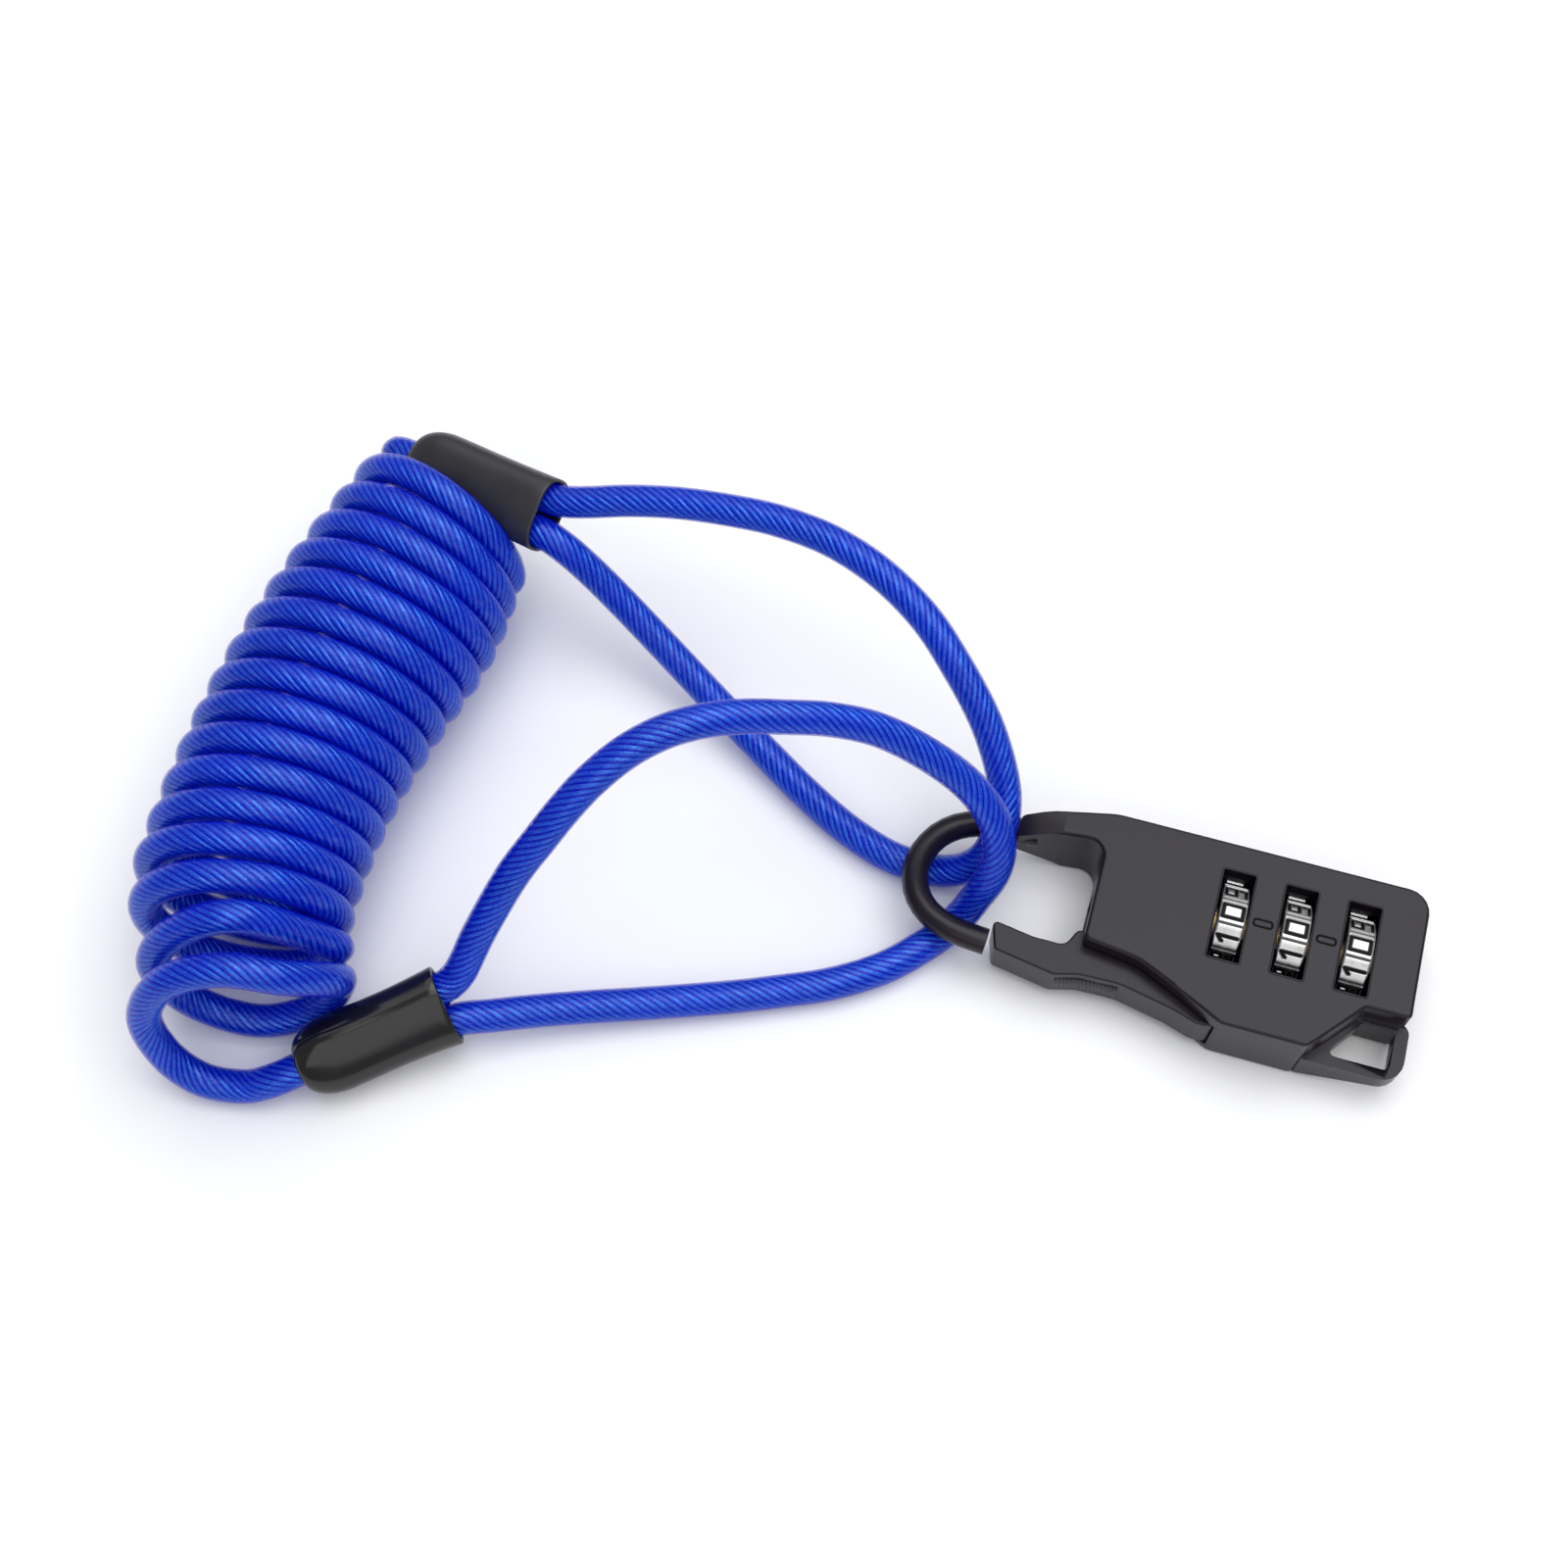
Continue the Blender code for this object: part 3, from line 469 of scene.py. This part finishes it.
def loopBead(name, loop, radius, count=10):
    # a round bead along a flat closed loop: outward vector and +Z carry its ring
    tangents = np.roll(loop, -1, axis=0) - np.roll(loop, 1, axis=0)
    tangents /= np.linalg.norm(tangents, axis=1)[:, None]
    outward = np.cross(tangents, (0, 0, 1))
    ring = ringOf(radius, count)
    grid = loop[:, None] + ring[None, :, :1] * outward[:, None] + ring[None, :, 1:] * np.array((0, 0, 1))
    return gridMesh(name, grid[:, ::-1], closeRings=True)


def addFaceBeads(values):
    beads = []
    for k, x in enumerate(values["dialX"]):
        loop = roundedLoop((x, values["axleY"]), values["windowWidth"] + values["rimGap"],
                           values["windowLength"] + values["rimGap"], values["rimCorner"],
                           values["faceZ"] - values["rimSunk"])
        beads.append(loopBead(f"windowRim{k + 1}", loop, values["rimRadius"]))
    for k in range(2):
        x = (values["dialX"][k] + values["dialX"][k + 1]) / 2
        loop = roundedLoop((x, values["axleY"]), values["barLength"], values["barWidth"],
                           values["barCorner"], values["faceZ"])
        beads.append(loopBead(f"indexBar{k + 1}", loop, values["barBead"]))
    for bead in beads:
        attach(bead, "lock_body")
    return beads


faceBeads = addFaceBeads(faceValues)


# ---- gate ribs: a corrugated band let into the thumb side of the gate

ribValues = {
    "line": [(-0.0127, -0.0120), (-0.0110, -0.01160), (-0.0094, -0.01125), (-0.0075, -0.01105),
             (-0.0055, -0.01098), (-0.0035, -0.01102)],
    "lowZ": 0.0036,
    "highZ": 0.0074,
    "height": 0.00022,
    "pitch": 0.00056,
    "edge": 0.0003,
    "buried": 0.0004,
    "foot": 0.00003,
}


def addRibs(values):
    # height over the gate's side: |sin(pi * distance / pitch)|, fading out at the band's two edges
    line = smoothLine([(*point, 0) for point in values["line"]], 12)
    line, places = evenly(line, values["pitch"] / 8)
    tangents = np.gradient(line, axis=0)
    tangents /= np.linalg.norm(tangents, axis=1)[:, None]
    outward = np.cross(tangents, (0, 0, 1))
    wave = np.abs(np.sin(np.pi * places / values["pitch"])) * values["height"]
    low, high, edge = values["lowZ"], values["highZ"], values["edge"]
    buried, foot = -values["buried"], -values["foot"]
    z = np.array([low, low, low + edge, high - edge, high, high])
    share = np.array([0, 0, 1, 1, 0, 0.0])
    sunk = np.array([buried, foot, 0, 0, foot, buried])
    out = wave[:, None] * share + sunk
    grid = line[:, None] + out[..., None] * outward[:, None] + z[None, :, None] * np.array((0, 0, 1))
    ribs = gridMesh("gateRibs", grid, capEnds=True, ringLength=places)
    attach(ribs, "gate")
    return ribs


gateRibs = addRibs(ribValues)
print("face beads and gate ribs made")


# ---- dials: chrome rings with engraved figures

dialValues = {
    "radius": 0.0063,
    "width": 0.0040,
    "bore": 0.0032,
    "round": 0.00035,
    "cells": 10,
    "figureHeight": 0.0029,
    "figureWidth": 0.0020,
    "stroke": 0.00058,
    "depth": 0.00018,
    "grooveWidth": 0.00034,
    "grooveDepth": 0.00024,
    "around": 560,
    "acrossFlat": 52,
    "softEdge": 0.0001,
    # how far the grooves between the cells are darkened towards the ink: painted shade
    "grooveShade": 0.85,
    "sharpest": 50,
}
# each figure's strokes on a square from -1 to 1
figureStrokes = [
    [[(-1, -1), (-1, 1), (1, 1), (1, -1), (-1, -1)]],
    [[(-0.7, 0.5), (0.1, 1), (0.1, -1)]],
    [[(-1, 1), (1, 1), (1, 0.1), (-1, -0.1), (-1, -1), (1, -1)]],
    [[(-1, 1), (1, 1), (1, -1), (-1, -1)], [(-0.4, 0), (1, 0)]],
    [[(-1, 1), (-1, -0.2), (1, -0.2)], [(0.5, 1), (0.5, -1)]],
    [[(1, 1), (-1, 1), (-1, 0.1), (1, 0.1), (1, -1), (-1, -1)]],
    [[(1, 1), (-1, 1), (-1, -1), (1, -1), (1, 0), (-1, 0)]],
    [[(-1, 1), (1, 1), (0, -1)]],
    [[(-1, -1), (-1, 1), (1, 1), (1, -1), (-1, -1)], [(-1, 0), (1, 0)]],
    [[(1, 0), (-1, 0), (-1, 1), (1, 1), (1, -1), (-1, -1)]],
]


def strokeDistance(points, strokes, size):
    # the distance from each point to the nearest stroke's centreline
    nearest = np.full(points.shape[:-1], 1.0)
    for stroke in strokes:
        for start, end in zip(stroke, stroke[1:]):
            a, b = np.array(start) * size, np.array(end) * size
            t = np.clip((points - a) @ (b - a) / (b - a).dot(b - a), 0, 1)
            nearest = np.minimum(nearest, np.linalg.norm(points - a - t[..., None] * (b - a), axis=-1))
    return nearest


def addDial(number, values):
    # radius = outside radius - engraving, where the engraving falls off smoothly at a stroke's edges
    radius, half, edge = values["radius"], values["width"] / 2, values["round"]
    flat = np.linspace(-(half - edge), half - edge, values["acrossFlat"])
    turn = np.linspace(0, np.pi / 2, 5)[1:]
    profile = np.vstack([
        np.stack([flat, np.full(len(flat), radius)], -1),
        np.stack([half - edge + edge * np.sin(turn), radius - edge + edge * np.cos(turn)], -1),
        [(half, values["bore"]), (0, values["bore"]), (-half, values["bore"])],
        np.stack([-(half - edge) - edge * np.cos(turn - turn[0]),
                  radius - edge + edge * np.sin(turn - turn[0])], -1),
    ])
    angles = np.arange(values["around"]) * 2 * np.pi / values["around"]
    cell = 2 * np.pi / values["cells"]
    figure = np.round(angles / cell).astype(int)
    offset = (angles - figure * cell) * radius
    # a figure's right points to where the angle grows and its top to -X
    points = np.stack(np.broadcast_arrays(offset[:, None], -profile[None, :, 0]), -1)
    size = np.array([values["figureWidth"] / 2, values["figureHeight"] / 2])
    ink = np.zeros(points.shape[:2])
    soft = values["softEdge"]
    for k in range(values["cells"]):
        rows = figure % values["cells"] == k
        distance = strokeDistance(points[rows], figureStrokes[-k % values["cells"]], size)
        ink[rows] = np.clip((values["stroke"] / 2 + soft / 2 - distance) / soft, 0, 1)
    fromGroove = radius * cell / 2 - np.abs(offset)
    groove = np.clip((values["grooveWidth"] / 2 + soft / 2 - fromGroove) / soft, 0, 1)
    outer = np.zeros(len(profile))
    outer[:len(flat)] = 1
    sunk = (ink * values["depth"] + groove[:, None] * values["grooveDepth"]) * outer
    r = profile[None, :, 1] - sunk
    x = faceValues["dialX"][number - 1] + profile[None, :, 0] + 0 * r
    y = faceValues["axleY"] + r * np.sin(angles)[:, None]
    z = faceValues["axleZ"] + r * np.cos(angles)[:, None]
    dial = gridMesh(f"numberRing{number}", np.stack([x, y, z], -1)[:, ::-1], closeRings=True)
    # black ink in the figures, and painted shade in the grooves between the cells
    inkAndGrooveShade = np.maximum(ink, groove[:, None] * values["grooveShade"]) * outer
    addAttribute(dial, "ink", inkAndGrooveShade[:, ::-1])
    dial.data.set_sharp_from_angle(angle=math.radians(values["sharpest"]))
    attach(dial, f"dial_{number}")
    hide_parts(f"number_dial_{number}")
    return dial


numberRings = [addDial(number, dialValues) for number in (1, 2, 3)]
print("number rings made")


# ---- materials

def makeGrainGroup():
    # fine: small even speckle; cloud: broad soft patches. Both run from 0 to 1 on Object coordinates
    group = bpy.data.node_groups.new("surfaceGrain", "ShaderNodeTree")
    group.interface.new_socket("Fine Scale", in_out="INPUT", socket_type="NodeSocketFloat")
    group.interface.new_socket("Cloud Scale", in_out="INPUT", socket_type="NodeSocketFloat")
    group.interface.new_socket("Fine", in_out="OUTPUT", socket_type="NodeSocketFloat")
    group.interface.new_socket("Cloud", in_out="OUTPUT", socket_type="NodeSocketFloat")
    nodes, links = group.nodes, group.links
    entry, leave = nodes.new("NodeGroupInput"), nodes.new("NodeGroupOutput")
    place = nodes.new("ShaderNodeTexCoord")
    for name in ("Fine", "Cloud"):
        noise = nodes.new("ShaderNodeTexNoise")
        noise.inputs["Detail"].default_value = 3.0
        links.new(place.outputs["Object"], noise.inputs["Vector"])
        links.new(entry.outputs[name + " Scale"], noise.inputs["Scale"])
        links.new(noise.outputs["Fac"], leave.inputs[name])
    return group


grainGroup = makeGrainGroup()


def startMaterial(name, grain=(9000, 160)):
    material = bpy.data.materials.new(name)
    material.use_nodes = True
    nodes, links = material.node_tree.nodes, material.node_tree.links
    shader = nodes["Principled BSDF"]
    speckle = nodes.new("ShaderNodeGroup")
    speckle.node_tree = grainGroup
    speckle.inputs["Fine Scale"].default_value, speckle.inputs["Cloud Scale"].default_value = grain
    return material, nodes, links, shader, speckle


def mixColours(nodes, links, factor, first, second):
    mix = nodes.new("ShaderNodeMix")
    mix.data_type = "RGBA"
    links.new(factor, mix.inputs["Factor"])
    for socket, colour in zip((mix.inputs["A"], mix.inputs["B"]), (first, second)):
        if isinstance(colour, bpy.types.NodeSocket):
            links.new(colour, socket)
        else:
            socket.default_value = (*colour, 1)
    return mix.outputs["Result"]


def spread(nodes, links, value, low, high, fromLow=0.3, fromHigh=0.7):
    scale = nodes.new("ShaderNodeMapRange")
    scale.inputs["From Min"].default_value, scale.inputs["From Max"].default_value = fromLow, fromHigh
    scale.inputs["To Min"].default_value, scale.inputs["To Max"].default_value = low, high
    links.new(value, scale.inputs["Value"])
    return scale.outputs["Result"]


def addBump(nodes, links, shader, height, distance, strength=1.0):
    bump = nodes.new("ShaderNodeBump")
    bump.inputs["Distance"].default_value = distance
    bump.inputs["Strength"].default_value = strength
    links.new(height, bump.inputs["Height"])
    links.new(bump.outputs["Normal"], shader.inputs["Normal"])


def speckledMaterial(name, values):
    # colour between two tones by cloud, roughness by cloud, and a fine bump from the speckle
    material, nodes, links, shader, speckle = startMaterial(name, values["grain"])
    cloud = spread(nodes, links, speckle.outputs["Cloud"], 0, 1, 0.15, 0.85)
    links.new(mixColours(nodes, links, cloud, values["dark"], values["light"]), shader.inputs["Base Color"])
    links.new(spread(nodes, links, speckle.outputs["Cloud"], *values["roughness"], 0.15, 0.85),
              shader.inputs["Roughness"])
    addBump(nodes, links, shader, speckle.outputs["Fine"], values["bump"])
    shader.inputs["Metallic"].default_value = values.get("metallic", 0.0)
    shader.inputs["Specular IOR Level"].default_value = values.get("specular", 0.5)
    return material


finishes = {
    "blackPaint": {"dark": (0.0074, 0.0048, 0.0098), "light": (0.0102, 0.0070, 0.0130),
                   "roughness": (0.27, 0.31), "bump": 0.000004, "grain": (5200, 60), "specular": 0.28},
    "blackVinyl": {"dark": (0.017, 0.016, 0.020), "light": (0.026, 0.025, 0.030), "roughness": (0.30, 0.40),
                   "bump": 0.000006, "grain": (4200, 240)},
    "glossVinyl": {"dark": (0.0055, 0.0045, 0.0055), "light": (0.0085, 0.0072, 0.0085),
                   "roughness": (0.12, 0.19), "bump": 0.000004, "grain": (4200, 240)},
    "blackEnamel": {"dark": (0.0012, 0.0011, 0.0013), "light": (0.0022, 0.0020, 0.0023),
                    "roughness": (0.4, 0.5), "bump": 0.000003, "grain": (6000, 300), "specular": 0.12},
    "steel": {"dark": (0.34, 0.34, 0.35), "light": (0.52, 0.52, 0.53), "roughness": (0.22, 0.38),
              "bump": 0.000004, "grain": (7000, 900), "metallic": 1.0},
    "brass": {"dark": (0.50, 0.36, 0.15), "light": (0.66, 0.50, 0.23), "roughness": (0.22, 0.36),
              "bump": 0.000004, "grain": (7000, 700), "metallic": 1.0},
    "aluminium": {"dark": (0.54, 0.55, 0.56), "light": (0.70, 0.71, 0.72), "roughness": (0.30, 0.45),
                  "bump": 0.000006, "grain": (6000, 500), "metallic": 1.0},
}
made = {name: speckledMaterial(name, values) for name, values in finishes.items()}

skinValues = {
    "thin": (0.0004, 0.006, 0.60),
    "thick": (0.0002, 0.002, 0.48),
    "glow": 0.06,
    "alpha": 0.54,
    "ior": 1.54,
    "specular": 0.24,
    "bump": 0.000004,
    "roughness": (0.12, 0.20),
}
coreValues = {
    # gap: painted shade between the strands; glint: painted highlight on their crests
    "gap": (0.0001, 0.003, 0.30),
    "strand": (0.03, 0.36, 1.0),
    "glint": (0.45, 0.95, 1.0),
    "wireScale": (6, 5200 / 12, 1),
    "wireBump": 0.00005,
    "metallic": 0.8,
}


def makeSkin(values):
    # a clear blue layer: its alpha is the share of its own colour over what is seen through it
    material, nodes, links, shader, speckle = startMaterial("clearBlueVinyl", (2600, 120))
    cloud = spread(nodes, links, speckle.outputs["Cloud"], 0, 1)
    links.new(mixColours(nodes, links, cloud, values["thick"], values["thin"]), shader.inputs["Base Color"])
    links.new(spread(nodes, links, speckle.outputs["Cloud"], *values["roughness"]), shader.inputs["Roughness"])
    addBump(nodes, links, shader, speckle.outputs["Fine"], values["bump"])
    shader.inputs["Specular IOR Level"].default_value = values["specular"]
    # a very small emission stands for the light that travels inside the clear layer
    shader.inputs["Emission Color"].default_value = (0, 0.004, 1, 1)
    shader.inputs["Emission Strength"].default_value = values["glow"]
    shader.inputs["Alpha"].default_value = values["alpha"]
    shader.inputs["IOR"].default_value = values["ior"]
    return material


def makeCore(values):
    # painted shade in the valleys between the strands, brightening to the strands' blue on their crests,
    # broken up into single wires by a wave that runs along the cable, with painted highlights (glints) where
    # the speckle is strong
    material, nodes, links, shader, speckle = startMaterial("blueStrands", (5200, 420))
    crest = nodes.new("ShaderNodeAttribute")
    crest.attribute_name = "crest"
    wave = nodes.new("ShaderNodeTexWave")
    wave.inputs["Scale"].default_value = 1.0
    wave.inputs["Distortion"].default_value = 1.6
    stretch = nodes.new("ShaderNodeMapping")
    stretch.inputs["Scale"].default_value = values["wireScale"]
    place = nodes.new("ShaderNodeUVMap")
    links.new(place.outputs["UV"], stretch.inputs["Vector"])
    links.new(stretch.outputs["Vector"], wave.inputs["Vector"])
    height = spread(nodes, links, crest.outputs["Fac"], 0, 1, 0.12, 0.92)
    # painted shade: from the strand colour on the crests down to the gap colour in the valleys
    body = mixColours(nodes, links, height, values["gap"], values["strand"])
    # painted highlight: the glint colour where the fine speckle is strong on the crests
    glint = nodes.new("ShaderNodeMath")
    glint.operation = "MULTIPLY"
    links.new(spread(nodes, links, speckle.outputs["Fine"], 0, 1, 0.45, 0.75), glint.inputs[0])
    links.new(height, glint.inputs[1])
    colour = mixColours(nodes, links, glint.outputs["Value"], body, values["glint"])
    links.new(colour, shader.inputs["Base Color"])
    shader.inputs["Metallic"].default_value = values["metallic"]
    links.new(spread(nodes, links, speckle.outputs["Cloud"], 0.26, 0.36), shader.inputs["Roughness"])
    addBump(nodes, links, shader, wave.outputs["Fac"], values["wireBump"], 0.8)
    return material


chromeValues = {"bright": (0.55, 0.55, 0.545), "dull": (0.42, 0.415, 0.41), "ink": (0.004, 0.004, 0.005)}


def makeChrome(values):
    # bright chrome with faint smears, and black enamel wherever the ink attribute is 1; in the grooves between
    # the figures it is 0.85, a painted shade
    material, nodes, links, shader, speckle = startMaterial("engravedChrome", (6000, 700))
    ink = nodes.new("ShaderNodeAttribute")
    ink.attribute_name = "ink"
    cloud = spread(nodes, links, speckle.outputs["Cloud"], 0, 1)
    metal = mixColours(nodes, links, cloud, values["dull"], values["bright"])
    links.new(mixColours(nodes, links, ink.outputs["Fac"], metal, values["ink"]), shader.inputs["Base Color"])
    links.new(spread(nodes, links, ink.outputs["Fac"], 1, 0, 0, 1), shader.inputs["Metallic"])
    links.new(spread(nodes, links, speckle.outputs["Cloud"], 0.20, 0.30), shader.inputs["Roughness"])
    addBump(nodes, links, shader, speckle.outputs["Fine"], 0.000004)
    shader.inputs["Specular IOR Level"].default_value = 0.06
    return material


made["skin"] = makeSkin(skinValues)
made["core"] = makeCore(coreValues)
made["chrome"] = makeChrome(chromeValues)


def dress(obj, material):
    obj.data.materials.clear()
    obj.data.materials.append(made[material])


for obj in (caseBody, backPlate, thumbGate, gateRibs, *faceBeads[:3]):
    dress(obj, "blackPaint")
for obj in screws:
    dress(obj, "steel")
for obj in numberRings:
    dress(obj, "chrome")
for obj in faceBeads[3:]:
    dress(obj, "blackEnamel")
dress(sleeveA, "blackVinyl")
dress(sleeveB, "glossVinyl")
dress(cableSkin, "skin")
dress(cableCore, "core")
innerFinish = {"steel": "steel", "brass": "brass", "aluminium": "aluminium", "black_paint": "blackPaint",
               "chrome": "chrome", "blue_cable": "skin", "black_vinyl": "blackVinyl"}
for part in frame["record"]["subparts"]:
    node = frame["nodes"][part["node"]]
    node.data.materials.clear()
    node.data.materials.append(made[innerFinish[part["material_slot"]]])
print("materials made")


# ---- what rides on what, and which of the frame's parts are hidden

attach(cableSkin, "lock_body")
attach(cableCore, "lock_body")
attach(sleeveA, "lock_body")
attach(sleeveB, "lock_body")
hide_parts("cable_loop_a", "cable_loop_b", "cable_coil", "cable_lead_a", "cable_lead_b")
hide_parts("sleeve_a")
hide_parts("sleeve_b")


# ---- floor and light

studioValues = {
    "floor": (0.93, 0.93, 0.94),
    "floorZ": -0.0001,
    "world": (0.95, 0.97, 1.0),
    "worldStrength": 0.35,
    # place, size, power
    "lamps": [
        ((-0.17, 0.38, 0.82), 1.2, 4.1),
        ((0.15, 0.10, 0.95), 1.0, 6.2),
        ((0.05, -0.60, 0.50), 0.6, 1.2),
    ],
}


def addStudio(values):
    mesh = bpy.data.meshes.new("floor")
    side, z = 3.0, values["floorZ"]
    corners = [(-side, -side, z), (side, -side, z), (side, side, z), (-side, side, z)]
    mesh.from_pydata(corners, [], [(0, 1, 2, 3)])
    floor = bpy.data.objects.new("floor", mesh)
    bpy.context.scene.collection.objects.link(floor)
    material, nodes, links, shader, speckle = startMaterial("paleFloor", (300, 6))
    shade = tuple(0.985 * part for part in values["floor"])
    cloud = spread(nodes, links, speckle.outputs["Cloud"], 0, 1)
    links.new(mixColours(nodes, links, cloud, shade, values["floor"]), shader.inputs["Base Color"])
    shader.inputs["Roughness"].default_value = 0.7
    mesh.materials.append(material)
    world = bpy.data.worlds.new("studio")
    world.use_nodes = True
    background = world.node_tree.nodes["Background"]
    background.inputs["Color"].default_value = (*values["world"], 1)
    background.inputs["Strength"].default_value = values["worldStrength"]
    bpy.context.scene.world = world
    for k, (place, size, power) in enumerate(values["lamps"]):
        lamp = bpy.data.lights.new(f"lamp{k + 1}", "AREA")
        lamp.size = size
        lamp.energy = power
        obj = bpy.data.objects.new(lamp.name, lamp)
        obj.location = place
        towards = Vector(cameraValues["target"]) - obj.location
        obj.rotation_euler = towards.to_track_quat("-Z", "Y").to_euler()
        bpy.context.scene.collection.objects.link(obj)
    bpy.context.scene.view_settings.view_transform = "Standard"


addStudio(studioValues)
print("studio made")
